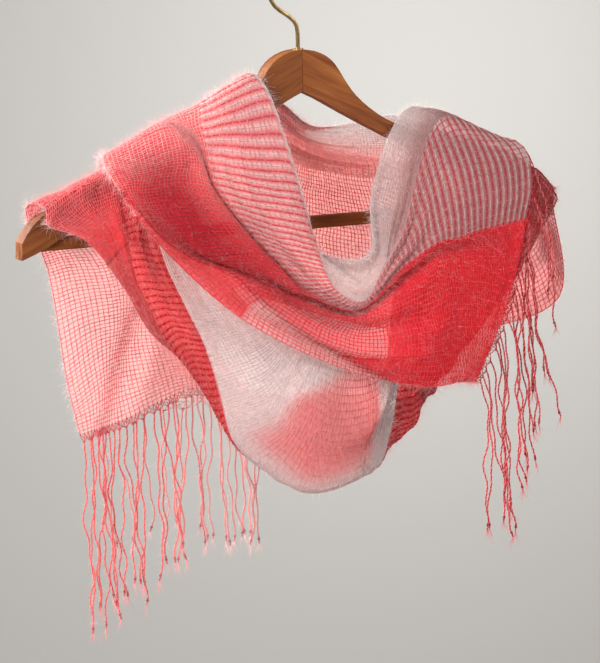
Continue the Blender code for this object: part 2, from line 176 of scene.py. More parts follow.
# Where the striped band lies at each station: station, place of its red side and of its pale side,
# counted in the station's control points.
BAND_PLACES = np.array([
    (0, 2.3, 3.5), (1, 2.65, 3.7), (2, 3.0, 3.9), (3, 2.9, 4.4), (6, 3.1, 4.7), (7, 2.4, 4.1),
    (8, 1.3, 3.9), (9, 1.0, 3.8), (10, 0.9, 3.6), (11, 0.9, 3.0), (12, 1.0, 2.6), (13, 1.0, 2.7),
    (14, 1.2, 3.9), (15, 3.0, 4.5), (16, 4.6, 5.3), (19, 4.5, 5.3), (20, 4.2, 4.7), (21, 4.2, 4.7),
    (22, 4.2, 5.0), (23, 3.7, 5.1), (24, 2.2, 4.1), (25, 2.0, 4.0), (26, 2.0, 4.0), (27, 2.1, 4.0),
    (28, 2.45, 4.0), (29, 2.9, 3.85), (30, 3.8, 4.2), (31, 3.0, 4.1), (32, 2.15, 4.75), (33, 2.0, 5.6),
])
# How far a weft at each station leads at the pale selvedge, counted in stations over the whole width.
WEFT_SLANT = (
    (5, 0), (7, -0.8), (11, -0.8), (13, 0), (22.8, 0), (24.6, 1.0), (27.5, 1.0), (29.5, 0),
)
SLANT_PIVOT = 0.3  # the share of the width that stays where it is

# Creases that run along the strip: station, share of the width and depth as a share of the deepest.
CREASES = (
    np.array([(26.6, 0.05, 0), (27.5, 0.07, 0.6), (28.2, 0.12, 1), (28.8, 0.22, 1), (29.4, 0.33, 1),
              (30.5, 0.37, 1), (32, 0.385, 0.8), (32.8, 0.39, 0.15)]),
    np.array([(24.5, 0.24, 0), (25.2, 0.27, 0.8), (26.0, 0.34, 1), (26.8, 0.41, 1), (27.8, 0.425, 1),
              (28.5, 0.43, 0.8), (29.1, 0.44, 0)]),
    np.array([(0, 0.10, 0.3), (1, 0.2, 0.4), (2.2, 0.34, 0.4), (2.7, 0.4, 0)]),
)
CREASE_DEPTH = 0.0014
CREASE_SIDE = -1  # which way along the normals is into the cloth
CREASE_WIDTH = 0.062  # share of the strip's width
CREASE_CROWDING = 5.0  # how much closer the warps lie in a crease
CREASE_LIP, CREASE_LIP_HEIGHT = 0.06, 0.4  # the raised lip beside a crease

# Soft folds along the strip, which flatten where it lies over an arm and near its ends.
FOLDS = 6.0  # side by side across the strip
FOLD_FULLNESS = 0.42
FOLD_LIMIT = 0.0042
FINE_FOLDS = 2.7  # finer folds to each soft one
# The folds' height as a share of the usual one, lower on the cowl.
FOLD_CALM = ((5, 1.0), (7, 0.35), (11, 0.35), (13, 1.0))

PITCH = 0.0027
WARPS = round(FLAT_WIDTH / PITCH) + 1
WEFTS = round(FLAT_LENGTH / PITCH) + 1
ROW_JITTER, POINT_JITTER = 0.00012, 0.00010
YARN_RADIUS = 0.00036
RIB_RADIUS = 0.00062
SELVEDGE_RADIUS = 0.00046
WAVE = 0.00034
SLUB = 0.22
SLUB_RANGE = (0.6, 1.5)
# The yarn's thickness as a share of the usual one, finer at the tail and behind the neck.
YARN_FINENESS = ((0, 0.78), (2.2, 0.78), (3, 1), (19, 1), (19.8, 0.75), (23, 0.75), (23.8, 1))
YARN_PIECES = 6

# The solid band's tone at each station: its yarn and the haze between the yarn.
# Its red is painted pink as light shining through from behind at the tail and the neck, its yarn painted pale
# pink as lit on the left shoulder, and its haze painted dark as shade over the left arm and in the swath.
SOLID_PAINTED_TONES = (
    (0.0, (0.95, 0.38, 0.38), (0.97, 0.50, 0.49)),
    (2.5, (0.95, 0.36, 0.36), (0.97, 0.47, 0.46)),
    (3.5, (0.93, 0.33, 0.33), (0.66, 0.03, 0.05)),
    (6.1, (0.92, 0.28, 0.28), (0.60, 0.02, 0.04)),
    (7.0, (0.91, 0.13, 0.14), (0.92, 0.05, 0.07)),
    (15.0, (0.90, 0.08, 0.10), (0.93, 0.05, 0.07)),
    (17.0, (0.86, 0.13, 0.14), (0.96, 0.24, 0.24)),
    (19.5, (0.88, 0.15, 0.16), (0.97, 0.27, 0.27)),
    (20.3, (0.88, 0.22, 0.22), (0.97, 0.37, 0.37)),
    (21.3, (0.93, 0.24, 0.23), (0.99, 0.42, 0.40)),
    (22.8, (0.93, 0.24, 0.23), (0.99, 0.42, 0.40)),
    (24.0, (0.97, 0.66, 0.64), (0.95, 0.36, 0.36)),
    (26.0, (0.97, 0.62, 0.60), (0.82, 0.08, 0.10)),
    (27.0, (0.96, 0.42, 0.41), (0.83, 0.03, 0.05)),
    (28.0, (0.94, 0.20, 0.21), (0.84, 0.015, 0.035)),
    (29.2, (0.94, 0.15, 0.16), (0.88, 0.015, 0.04)),
    (30.5, (0.95, 0.11, 0.13), (0.95, 0.022, 0.05)),
    (33.0, (0.93, 0.065, 0.085), (0.96, 0.025, 0.05)),
)
# The striped band's light and dark rows, as yarn and haze, where the strip is pale-striped and on the cowl.
PALE_STRIPES = (
    ((0.95, 0.72, 0.70), (0.96, 0.68, 0.66)),
    ((0.86, 0.12, 0.14), (0.80, 0.09, 0.12)),
)
CORAL_STRIPES = (
    ((0.97, 0.22, 0.21), (0.97, 0.20, 0.19)),
    ((0.72, 0.012, 0.035), (0.92, 0.035, 0.06)),
)
# How far the stripes are the coral ones.
CORAL_SHARE = ((4.5, 0.0), (6.0, 1.0), (15.9, 1.0), (17.3, 0.0))
PALE = (0.91, 0.79, 0.775)

# A painted glow in the pale band, low on the cowl: where it is across the strip and how far it reaches.
# It stands for light coming through the pale band from the red layer behind it.
GLOW = (0.95, 0.30, 0.30)
GLOW_CENTRE = ((11.4, 0.835), (13.0, 0.905))
GLOW_REACH = ((11.4, 0.075), (13.2, 0.125))
GLOW_STATION, GLOW_LENGTH, GLOW_SHARE = 12.45, 1.15, 0.9

# A turned-under layer that shows along the swath's lower edge: station and share of the width it reaches,
# the station where it turns from coral to pale, and its yarn and haze on both sides of that.
UNDER_EDGE = ((27.0, 0.0), (27.8, 0.04), (28.5, 0.085), (29.2, 0.10), (29.9, 0.07), (30.6, 0.0))
# A painted shadow line, deep red, along the edge of the turned-under layer: its width and strength.
UNDER_SHADOW_LINE, UNDER_SHADOW_LINE_SHARE = 0.012, 0.7
UNDER_WINDOW = 29.05
UNDER_RED = ((0.90, 0.12, 0.13), (0.90, 0.08, 0.10))
UNDER_PALE = ((0.93, 0.22, 0.23), (0.95, 0.50, 0.49))

# Where the pale band is painted darker and redder, as shade over the right arm and at the right end.
PALE_BAND_SHADE = (0.78, 0.34, 0.33)
PALE_BAND_SHADE_SHARE = ((14.5, 0), (16, 1), (19, 1), (19.8, 0), (29.8, 0), (31, 1))
# Where all bands are painted one pink, as light shining through them from behind at the tail and the neck.
BACKLIT_PINK = (0.99, 0.47, 0.45)
BACKLIT_PINK_SHARE = ((2.3, 1.0), (2.9, 0.0), (19.4, 0.0), (19.9, 1.0), (22.5, 1.0), (23.1, 0.0))

# Painted shade, a deep red, in the swath's hollow and in the creases.
VALLEY_SHADE = (0.50, 0.005, 0.02)
VALLEY_DEPTH = ((26.1, 0.0), (27.2, 1.0), (29, 1.0), (30.5, 0.0))
VALLEY_CENTRE = ((26, 0.16), (29, 0.25))
VALLEY_REACH = 0.12
CREASED_SHARE = 0.6

# Painted shade on the cloth at the right of the cowl, over the right arm and at the strip's right end.
COWL_SHADE = ((11.5, 1.0), (14, 0.84), (15.8, 0.66), (18.8, 0.70), (19.8, 1.0))
END_SHADE = ((29.8, 1.0), (31.2, 0.84), (33, 0.70))

# How much of the gaps the haze fills, in the red and striped bands and in the pale one.
RED_HAZE = (
    (0, 0.74), (2.5, 0.74), (3.5, 0.82), (5, 0.82), (7, 0.88), (12, 0.85), (15, 0.84), (16, 0.72),
    (19, 0.72), (20.5, 0.90), (24, 0.90), (29, 0.86), (30.5, 0.70), (33, 0.72),
)
PALE_HAZE = ((0, 0.5), (5, 0.6), (8, 0.78), (11, 0.86), (14, 0.86), (20, 0.7), (24, 0.7), (33, 0.66))

FRINGE_RED = (0.70, 0.03, 0.055)
FRINGE_RED_TOP = (0.66, 0.08, 0.09)
FRINGE_PINK = (0.91, 0.22, 0.23)
FRINGE_PALE = (0.94, 0.52, 0.51)
# The white of the painted sheen on the hairs.
WHITE = (0.93, 0.84, 0.82)


def along_strip(table, stations):
    """The value at each station from a table of (station, value)."""
    places, values = zip(*table)
    return np.interp(stations, places, values)


def smooth_curve(p0, p1, p2, p3, t):
    """Catmull-Rom curve between p1 and p2."""
    return 0.5 * (
        2 * p1 + (p2 - p0) * t + (2 * p0 - 5 * p1 + 4 * p2 - p3) * t**2 + (3 * p1 - p0 - 3 * p2 + p3) * t**3
    )


def padded_ends(points):
    """The points with one more at each end, straight on."""
    return np.concatenate([2 * points[:1] - points[1:2], points, 2 * points[-1:] - points[-2:-1]])


def catmull(points, places):
    """Smooth curve through an array of points, at places counted in points from its start."""
    i = np.clip(np.floor(places).astype(int), 0, len(points) - 2)
    t = (places - i).reshape(-1, *[1] * (points.ndim - 1))
    padded = padded_ends(points)
    return smooth_curve(*(padded[i + k] for k in range(4)), t)


def on_ribs(ribs, places):
    """Points of many ribs at their own places across: ribs is (rib, 7, 3), places is (rib, n)."""
    padded = padded_ends(ribs.transpose(1, 0, 2)).transpose(1, 0, 2)
    i = np.clip(np.floor(places).astype(int), 0, ribs.shape[1] - 2)
    t = (places - i)[..., None]
    rows = np.arange(len(ribs))[:, None]
    return smooth_curve(*(padded[rows, i + k] for k in range(4)), t)


def even_stations(count):
    """Places along the strip that cut its middle into equal lengths."""
    fine = np.linspace(0, LAST, 3000)
    ribs = catmull(STATIONS, fine)
    measured = np.array([0.5, 1.5, 2.5, 3.5])  # lines along the strip, counted in control points across it
    lines = on_ribs(ribs, np.broadcast_to(measured, (len(fine), len(measured))))
    steps = np.linalg.norm(np.diff(lines, axis=0), axis=2).mean(axis=1)
    walked = np.concatenate([[0], np.cumsum(steps)])
    return np.interp(np.linspace(0, walked[-1], count), walked, fine)


def crease_profile(line, station, shares):
    """How deep a crease is at a station, as a share of the deepest, over shares of the width."""
    centre = np.interp(station, line[:, 0], line[:, 1])
    depth = np.interp(station, line[:, 0], line[:, 2], left=0, right=0)
    return depth * np.exp(-(((shares - centre) / CREASE_WIDTH) ** 2))


def places_across(ribs, stations, shares):
    """Place across each rib for each share of the width, so that each band is woven evenly."""
    fine = np.linspace(0, STATIONS.shape[1] - 1, 241)
    lines = on_ribs(ribs, np.broadcast_to(fine, (len(ribs), len(fine))))
    steps = np.linalg.norm(np.diff(lines, axis=1), axis=2)
    walked = np.concatenate([np.zeros((len(ribs), 1)), np.cumsum(steps, axis=1)], axis=1)
    red_side = np.interp(stations, BAND_PLACES[:, 0], BAND_PLACES[:, 1])
    pale_side = np.interp(stations, BAND_PLACES[:, 0], BAND_PLACES[:, 2])
    places = np.empty((len(ribs), len(shares)))
    fine_shares = np.linspace(0, 1, 401)
    for i in range(len(ribs)):
        red, pale = np.interp([red_side[i], pale_side[i]], fine, walked[i])
        crowd = 1 + CREASE_CROWDING * sum(crease_profile(line, stations[i], fine_shares) for line in CREASES)
        taken = np.concatenate([[0], np.cumsum(0.5 / crowd[1:] + 0.5 / crowd[:-1])])
        bands = np.interp([0, RED_EDGE, PALE_EDGE, 1], fine_shares, taken)
        lengths = np.interp(np.interp(shares, fine_shares, taken), bands, [0, red, pale, walked[i, -1]])
        places[i] = np.interp(lengths, walked[i], fine)
    return places, walked[:, -1]


def unit(vectors):
    return vectors / np.maximum(np.linalg.norm(vectors, axis=-1, keepdims=True), 1e-12)


def normals_of(grid):
    """The surface's normal at each point of a grid."""
    return unit(np.cross(np.gradient(grid, axis=0), np.gradient(grid, axis=1)))


def soft_noise(s, v, waves, seed):
    """Smooth noise about zero from a few crossed waves; waves is a list of (along, across, height)."""
    rng = np.random.default_rng(seed)
    total = np.zeros_like(s)
    for along, across, height in waves:
        for _ in range(3):
            a, b = rng.uniform(0.7, 1.4, 2)
            p, q = rng.uniform(0, 2 * math.pi, 2)
            bend = 2 * np.sin(2 * math.pi * across * b * v + q)
            total += height / 3 * np.sin(2 * math.pi * along * a * s + p + bend)
    return total


def fold_height(stations, shares, widths):
    """Height of the soft folds, which take up the width that a narrow place has spare, and of the creases."""
    s, v = np.meshgrid(stations, shares, indexing="ij")
    spare = np.clip(FLAT_WIDTH / widths, 1.0, 1.5)[:, None] - 1.0
    wander = soft_noise(s / LAST, v, [(3, 0.7, 0.5), (7, 1.0, 0.2)], 3)
    height = np.sqrt(spare) * FLAT_WIDTH / FOLDS / math.pi * FOLD_FULLNESS
    wide = np.sin(2 * math.pi * (FOLDS * v + wander))
    fine = np.sin(2 * math.pi * (FINE_FOLDS * FOLDS * v - 1.3 * wander + 0.3))
    crests = (OVER_LEFT_ARM, OVER_RIGHT_ARM, OVER_LEFT_SHOULDER)
    free = np.clip(np.minimum.reduce([np.abs(s - crest) for crest in crests]) / 2.0, 0.15, 1.0)
    ends = np.clip(np.minimum(s, LAST - s) / 1.5, 0.25, 1.0)
    calm = along_strip(FOLD_CALM, s)
    folds = calm * free * ends * np.minimum(height, FOLD_LIMIT) * (0.8 * wide + 0.25 * fine)
    creases = sum(
        crease_profile(line, s, v) - CREASE_LIP_HEIGHT * crease_profile(line, s, v - CREASE_LIP)
        for line in CREASES
    )
    return folds, creases * CREASE_DEPTH


def slanted(grid, stations, shares):
    """Slides the wefts along the cloth, so that they cross it at a slant where the strip is pulled askew."""
    slant = along_strip(WEFT_SLANT, stations)
    moved = np.empty_like(grid)
    for j, v in enumerate(shares):
        for k in range(3):
            moved[:, j, k] = np.interp(stations + slant * (v - SLANT_PIVOT), stations, grid[:, j, k])
    return moved


def weave_grid():
    """Where each weft crosses each warp, with the surface's normals there."""
    stations = even_stations(WEFTS)
    shares = np.linspace(0, 1, WARPS)
    ribs = catmull(STATIONS, stations)
    places, widths = places_across(ribs, stations, shares)
    grid = slanted(on_ribs(ribs, places), stations, shares)
    s, v = np.meshgrid(stations / LAST, shares, indexing="ij")
    along = unit(np.gradient(grid, axis=0))
    skew = soft_noise(s, v, [(14, 1.5, 0.0016), (45, 3, 0.0006)], 11)
    skew = skew + RNG.normal(0, ROW_JITTER, (WEFTS, 1)) + RNG.normal(0, POINT_JITTER, (WEFTS, WARPS))
    grid += along * skew[..., None]
    across = unit(np.gradient(grid, axis=1))
    slip = soft_noise(s, v, [(30, 2, 0.0003)], 12) + RNG.normal(0, POINT_JITTER, (WEFTS, WARPS))
    slip[:, [0, -1]] = 0  # the selvedges stay straight
    grid += across * slip[..., None]
    folds, creases = fold_height(stations, shares, widths)
    grid += normals_of(grid) * (folds + CREASE_SIDE * creases)[..., None]
    return stations, shares, grid, normals_of(grid)


def mixed(a, b, t):
    """Colours between a and b by a share t at each crossing."""
    return np.asarray(a) * (1 - t[..., None]) + np.asarray(b) * t[..., None]


def moved_toward(colour, goal, share):
    """Colours moved toward one colour by a share at each crossing."""
    return colour + (np.asarray(goal) - colour) * share[..., None]


def bump_shape(x, power):
    """1 about x = 0, falling off to nothing past 1, the more squarely the higher the even power."""
    return np.exp(-(x ** power))


def cloudy(s, v):
    """Soft patches about zero where the cloth is a little fuller or thinner."""
    return soft_noise(s / LAST, v, [(5, 1.0, 0.6), (13, 2.2, 0.4)], 5)


def solid_painted_tones(s, which):
    """The solid band's colour, with its painted light and shade, at stations s; which is 1 for the yarn and 2
    for the haze.
    """
    channels = [along_strip([(tone[0], tone[which][k]) for tone in SOLID_PAINTED_TONES], s) for k in range(3)]
    return np.stack(channels, axis=-1)


def band_colours(stations, shares):
    """Colours of the weft, the warp and the haze at each crossing, as three grids.

    The strip has a solid red, a striped and a pale band, which shift in tone along it, with painted light and
    shade.
    """
    s, v = np.meshgrid(stations, shares, indexing="ij")
    in_red = (v < RED_EDGE)[..., None]
    on_cowl = along_strip(CORAL_SHARE, s)
    is_light = (np.arange(len(stations)) % 2 > 0)[:, None, None]
    # Painted shade in the creases and in the swath's hollow.
    creased = np.clip(sum(crease_profile(line, s, v) for line in CREASES), 0, 1)
    valley_shade = along_strip(VALLEY_DEPTH, s) * bump_shape((v - along_strip(VALLEY_CENTRE, s)) / VALLEY_REACH, 2)
    # Painted shade at the right of the cowl, over the right arm and at the right end.
    end_shade = np.where(v > RED_EDGE, along_strip(END_SHADE, s), 1.0)
    shaded = (along_strip(COWL_SHADE, s) * end_shade)[..., None]
    # A painted glow of light through the pale band, low on the cowl.
    glow = GLOW_SHARE * bump_shape((s - GLOW_STATION) / GLOW_LENGTH, 8)
    glow = glow * bump_shape((v - along_strip(GLOW_CENTRE, s)) / along_strip(GLOW_REACH, s), 6)
    # Painted shade that darkens and reddens the pale band over the right arm and at the right end.
    pale_band_shade = 0.6 * along_strip(PALE_BAND_SHADE_SHARE, s) * np.clip((1 - v) / 0.2, 0, 1)
    under_edge = along_strip(UNDER_EDGE, s)
    is_under = (v < under_edge)[..., None]
    # A painted shadow line along the edge of the turned-under layer.
    under_shadow_line = UNDER_SHADOW_LINE_SHARE * bump_shape((v - under_edge) / UNDER_SHADOW_LINE, 2) * (under_edge > 0)
    stripes_run_on = (s > 21.8 + 3.2 * (1 - v)) & (s < 23.6)  # into the pale band, at the left shoulder
    in_pale = ((v > PALE_EDGE) & ~stripes_run_on)[..., None]
    # Painted pink of light shining through from behind, at the tail and the neck.
    backlit_share = np.where(stripes_run_on, 0.0, along_strip(BACKLIT_PINK_SHARE, s))
    top = np.clip((v - PALE_EDGE) / 0.2, 0, 1)
    light, dark = (
        [mixed(pale_row[k], coral_row[k], on_cowl) for k in (0, 1)]
        for pale_row, coral_row in zip(PALE_STRIPES, CORAL_STRIPES)
    )
    stripes = (
        np.where(is_light, light[0], dark[0]),
        0.5 * light[0] + 0.5 * dark[0],
        np.where(is_light, light[1], dark[1]),
    )
    grids = []
    for striped, which, valley_share in zip(stripes, (1, 1, 2), (0.75, 0.75, 0.95)):
        under = np.where((s > UNDER_WINDOW)[..., None], UNDER_PALE[which - 1], UNDER_RED[which - 1])
        solid = moved_toward(solid_painted_tones(s, which), VALLEY_SHADE, valley_share * valley_shade)
        pale = moved_toward(mixed(PALE, GLOW, glow), PALE_BAND_SHADE, pale_band_shade)
        pale = moved_toward(pale, BACKLIT_PINK, backlit_share * (1 - top))
        striped = mixed(striped, BACKLIT_PINK, backlit_share)
        colour = np.where(in_red, solid, np.where(in_pale, pale, striped))
        colour = np.where(is_under, under, moved_toward(colour, VALLEY_SHADE, CREASED_SHARE * creased))
        # Painted shade: the shadow line along the turned-under layer, and the darker cloth at the right.
        colour = moved_toward(colour, VALLEY_SHADE, under_shadow_line) * shaded
        grids.append(np.clip(colour * (1 + 0.16 * cloudy(s, v))[..., None], 0, 0.98))
    return grids


# ---------------------------------------------------------------- meshes
def mesh_object(name, points, faces, colours, look):
    """A smooth mesh with one material and its colours painted on the points."""
    mesh = bpy.data.meshes.new(name)
    points = np.ascontiguousarray(points, np.float32)
    faces = np.ascontiguousarray(faces, np.int32)
    mesh.vertices.add(len(points))
    mesh.vertices.foreach_set("co", points.ravel())
    mesh.loops.add(faces.size)
    mesh.loops.foreach_set("vertex_index", faces.ravel())
    mesh.polygons.add(len(faces))
    mesh.polygons.foreach_set("loop_start", np.arange(len(faces), dtype=np.int32) * faces.shape[1])
    mesh.polygons.foreach_set("loop_total", np.full(len(faces), faces.shape[1], np.int32))
    mesh.update(calc_edges=True)
    mesh.polygons.foreach_set("use_smooth", np.ones(len(faces), bool))
    layer = mesh.color_attributes.new("yarn", "FLOAT_COLOR", "POINT")
    if colours.shape[1] == 3:
        colours = np.concatenate([colours, np.ones((len(colours), 1))], axis=1)
    layer.data.foreach_set("color", np.ascontiguousarray(colours, np.float32).ravel())
    mesh.materials.append(look)
    obj = bpy.data.objects.new(name, mesh)
    bpy.context.scene.collection.objects.link(obj)
    return obj


def sides_of(lines):
    """Two directions square to the line at each point of many polylines, an array (line, point, 3)."""
    tangent = unit(np.gradient(lines, axis=1))
    helper = np.where(np.abs(tangent[..., 1:2]) < 0.8, np.array([0, 1.0, 0]), np.array([1.0, 0, 0]))
    side = unit(np.cross(tangent, helper))
    return side, np.cross(tangent, side)


def tubes(lines, radii, colours):
    """Closed square tubes about many polylines of one length; radii is (line, point)."""
    side, up = sides_of(lines)
    count, length = lines.shape[:2]
    radii = np.broadcast_to(np.asarray(radii, float), (count, length))
    angles = np.arange(4) * math.pi / 2 + math.pi / 4
    ring = np.cos(angles)[:, None] * side[:, :, None] + np.sin(angles)[:, None] * up[:, :, None]
    points = lines[:, :, None] + ring * radii[:, :, None, None]
    index = np.arange(count * length * 4).reshape(count, length, 4)
    a, b = index[:, :-1], index[:, 1:]
    around = [1, 2, 3, 0]
    walls = np.stack([a, b, b[..., around], a[..., around]], axis=-1).reshape(-1, 4)
    faces = np.concatenate([walls, index[:, 0], index[:, -1, ::-1]])
    return points.reshape(-1, 3), faces, np.repeat(colours.reshape(-1, 3), 4, axis=0)


def ribbons(lines, width, colours):
    """Flat strips along many polylines of one length."""
    side, _ = sides_of(lines)
    count, length = lines.shape[:2]
    taper = np.linspace(1, 0.35, length)[None, :, None] * width / 2
    points = np.stack([lines - side * taper, lines + side * taper], axis=2)
    index = np.arange(count * length * 2).reshape(count, length, 2)
    faces = np.stack([index[:, :-1, 0], index[:, 1:, 0], index[:, 1:, 1], index[:, :-1, 1]], axis=-1)
    return points.reshape(-1, 3), faces.reshape(-1, 4), np.repeat(colours, length * 2, axis=0)


def joined(shapes):
    """One set of points, faces and colours out of several."""
    starts = np.cumsum([0] + [len(points) for points, _, _ in shapes[:-1]])
    points = np.concatenate([points for points, _, _ in shapes])
    faces = np.concatenate([faces + start for (_, faces, _), start in zip(shapes, starts)])
    return points, faces, np.concatenate([colours for _, _, colours in shapes])


# ---------------------------------------------------------------- materials
def new_material(name):
    """A node material, its tree and its main shader."""
    mat = bpy.data.materials.new(name)
    mat.use_nodes = True
    tree = mat.node_tree
    return mat, tree, tree.nodes["Principled BSDF"]


def node(tree, kind, **inputs):
    made = tree.nodes.new(kind)
    for key, value in inputs.items():
        made.inputs[key.replace("_", " ")].default_value = value
    return made


def ramp(tree, source, stops):
    """A value turned into colour by (place, colour) stops."""
    made = tree.nodes.new("ShaderNodeValToRGB")
    elements = made.color_ramp.elements
    while len(elements) < len(stops):
        elements.new(0.5)
    for element, (place, colour) in zip(elements, stops):
        element.position = place
        element.color = (*colour, 1)
    tree.links.new(source, made.inputs["Fac"])
    return made.outputs["Color"]


def multiplied(tree, a, b):
    mix = tree.nodes.new("ShaderNodeMix")
    mix.data_type = "RGBA"
    mix.blend_type = "MULTIPLY"
    mix.inputs["Factor"].default_value = 1.0
    tree.links.new(a, mix.inputs[6])
    tree.links.new(b, mix.inputs[7])
    return mix.outputs[2]


def shader_mix(tree, first, second, share):
    mix = tree.nodes.new("ShaderNodeMixShader")
    mix.inputs["Fac"].default_value = share
    tree.links.new(first, mix.inputs[1])
    tree.links.new(second, mix.inputs[2])
    return mix.outputs["Shader"]


def yarn_material(name, through_share, sheen, gaps=False):
    """Brushed mohair in the colours painted on the mesh, a little uneven, letting light through.

    With gaps, the painted alpha says how much of the open weave is filled.
    """
    mat, tree, shader = new_material(name)
    paint = tree.nodes.new("ShaderNodeVertexColor")
    paint.layer_name = "yarn"
    where = tree.nodes.new("ShaderNodeTexCoord")
    mottle = node(tree, "ShaderNodeTexNoise", Scale=300.0, Detail=3.0)
    tree.links.new(where.outputs["Object"], mottle.inputs["Vector"])
    tone = ramp(tree, mottle.outputs["Fac"], [(0.3, (0.88, 0.86, 0.86)), (0.7, (1.0, 1.0, 1.0))])
    colour = multiplied(tree, paint.outputs["Color"], tone)
    tree.links.new(colour, shader.inputs["Base Color"])
    shader.inputs["Roughness"].default_value = 0.9
    shader.inputs["Specular IOR Level"].default_value = 0.2
    shader.inputs["Sheen Weight"].default_value = sheen
    shader.inputs["Sheen Roughness"].default_value = 0.5
    shader.inputs["Sheen Tint"].default_value = (1.0, 0.76, 0.75, 1.0)
    through = tree.nodes.new("ShaderNodeBsdfTranslucent")
    tree.links.new(colour, through.inputs["Color"])
    result = shader_mix(tree, shader.outputs["BSDF"], through.outputs["BSDF"], through_share)
    if gaps:
        gap = tree.nodes.new("ShaderNodeBsdfTransparent")
        result = shader_mix(tree, gap.outputs["BSDF"], result, 0.5)
        tree.links.new(paint.outputs["Alpha"], result.node.inputs["Fac"])
    tree.links.new(result, tree.nodes["Material Output"].inputs["Surface"])
    return mat


def wood_material(name, tilt, shift, light=0.5):
    """Varnished wood whose grain runs along a direction in the XZ plane."""
    mat, tree, shader = new_material(name)
    where = tree.nodes.new("ShaderNodeTexCoord")
    turn = node(tree, "ShaderNodeMapping", Rotation=(0, tilt, 0), Location=(shift, shift * 0.7, 0))
    tree.links.new(where.outputs["Object"], turn.inputs["Vector"])
    stretch = node(tree, "ShaderNodeMapping", Scale=(6.0, 120.0, 120.0))
    tree.links.new(turn.outputs["Vector"], stretch.inputs["Vector"])
    grain = node(tree, "ShaderNodeTexNoise", Scale=1.0, Detail=8.0, Roughness=0.62, Distortion=0.8)
    tree.links.new(stretch.outputs["Vector"], grain.inputs["Vector"])
    colour = ramp(tree, grain.outputs["Fac"], [
        (0.30, (0.12 * light, 0.025 * light, 0.005 * light)),
        (0.47, (0.28 * light, 0.072 * light, 0.014 * light)),
        (0.60, (0.40 * light, 0.120 * light, 0.024 * light)),
        (0.75, (0.54 * light, 0.21 * light, 0.055 * light)),
    ])
    tree.links.new(colour, shader.inputs["Base Color"])
    pores = node(tree, "ShaderNodeTexNoise", Scale=3.0, Detail=6.0, Roughness=0.7)
    tree.links.new(stretch.outputs["Vector"], pores.inputs["Vector"])
    bump = node(tree, "ShaderNodeBump", Strength=0.12, Distance=0.0004)
    tree.links.new(pores.outputs["Fac"], bump.inputs["Height"])
    tree.links.new(bump.outputs["Normal"], shader.inputs["Normal"])
    shader.inputs["Roughness"].default_value = 0.6
    shader.inputs["Specular IOR Level"].default_value = 0.18
    return mat


def metal_material(name, bright, dark, roughness):
    """Metal with a faint patina."""
    mat, tree, shader = new_material(name)
    where = tree.nodes.new("ShaderNodeTexCoord")
    patina = node(tree, "ShaderNodeTexNoise", Scale=160.0, Detail=6.0, Roughness=0.6)
    tree.links.new(where.outputs["Object"], patina.inputs["Vector"])
    colour = ramp(tree, patina.outputs["Fac"], [(0.35, dark), (0.6, bright)])
    tree.links.new(colour, shader.inputs["Base Color"])
    shader.inputs["Metallic"].default_value = 1.0
    shader.inputs["Roughness"].default_value = roughness
    return mat


# ---------------------------------------------------------------- the scarf
def haze_density(stations, shares):
    """How much of the gaps in the weave the brushed fibre fills."""
    s, v = np.meshgrid(stations, shares, indexing="ij")
    density = np.where(v > PALE_EDGE, along_strip(PALE_HAZE, s), along_strip(RED_HAZE, s))
    # Thinner where the cloth is stretched over the right arm's end.
    arm_end = bump_shape((s - 17.4) / 1.3, 2) * np.clip(1 - v / 0.25, 0, 1)
    return np.clip(density * (1 - 0.45 * arm_end) - 0.12 * cloudy(s, v), 0, 0.95)


def build_film(stations, shares, grid, colours, look):
    """The haze of brushed fibre that fills the open weave, as one sheet."""
    rows, cols = grid.shape[:2]
    paint = np.concatenate([colours, haze_density(stations, shares)[..., None]], axis=2)
    index = np.arange(rows * cols).reshape(rows, cols)
    faces = np.stack([index[:-1, :-1], index[1:, :-1], index[1:, 1:], index[:-1, 1:]], axis=-1)
    return mesh_object("scarf_haze", grid.reshape(-1, 3), faces.reshape(-1, 4), paint.reshape(-1, 4), look)


def build_yarns(stations, shares, grid, normals, weft_paint, warp_paint, look):
    """Warp and weft as real yarn, cut into lengths that each stay a light mesh."""
    wefts, warps = grid.shape[:2]
    gap_across = np.linalg.norm(np.gradient(grid, axis=1), axis=2)
    gap_along = np.linalg.norm(np.gradient(grid, axis=0), axis=2)
    wave = np.minimum(WAVE, 0.22 * gap_across)
    over = (np.arange(wefts)[:, None] + np.arange(warps)) % 2 * 2.0 - 1.0
    lift = (over * wave)[..., None] * normals
    slub = np.clip(1 + SLUB * RNG.standard_normal((wefts, warps)), *SLUB_RANGE)
    on_cowl = (stations > 5.5) & (stations < 16)
    thick_row = np.arange(wefts) % 2 == np.where(on_cowl, 0, 1)
    ribbed = (shares > RED_EDGE) & (shares <= PALE_EDGE) & thick_row[:, None]
    fine = along_strip(YARN_FINENESS, stations)[:, None]
    weft_radii = np.minimum(np.where(ribbed, RIB_RADIUS, YARN_RADIUS), 0.45 * gap_along) * slub * fine
    warp_radii = np.minimum(YARN_RADIUS, 0.42 * gap_across + 0.00006) * slub[:, ::-1] * fine
    warp_radii[:, [0, -1]] = SELVEDGE_RADIUS
    warp_lines = (grid + lift).transpose(1, 0, 2)
    weft_lines = grid - lift
    made = []
    blocks = np.linspace(0, wefts - 1, YARN_PIECES + 1).astype(int)
    for i, (first, last) in enumerate(zip(blocks, blocks[1:])):
        part = slice(first, last + 1)
        warp = tubes(warp_lines[:, part], warp_radii[part].T, warp_paint[part].transpose(1, 0, 2))
        weft = tubes(weft_lines[part], weft_radii[part], weft_paint[part])
        made.append(mesh_object(f"scarf_yarns_{i + 1}", *joined([warp, weft]), look))
    return made


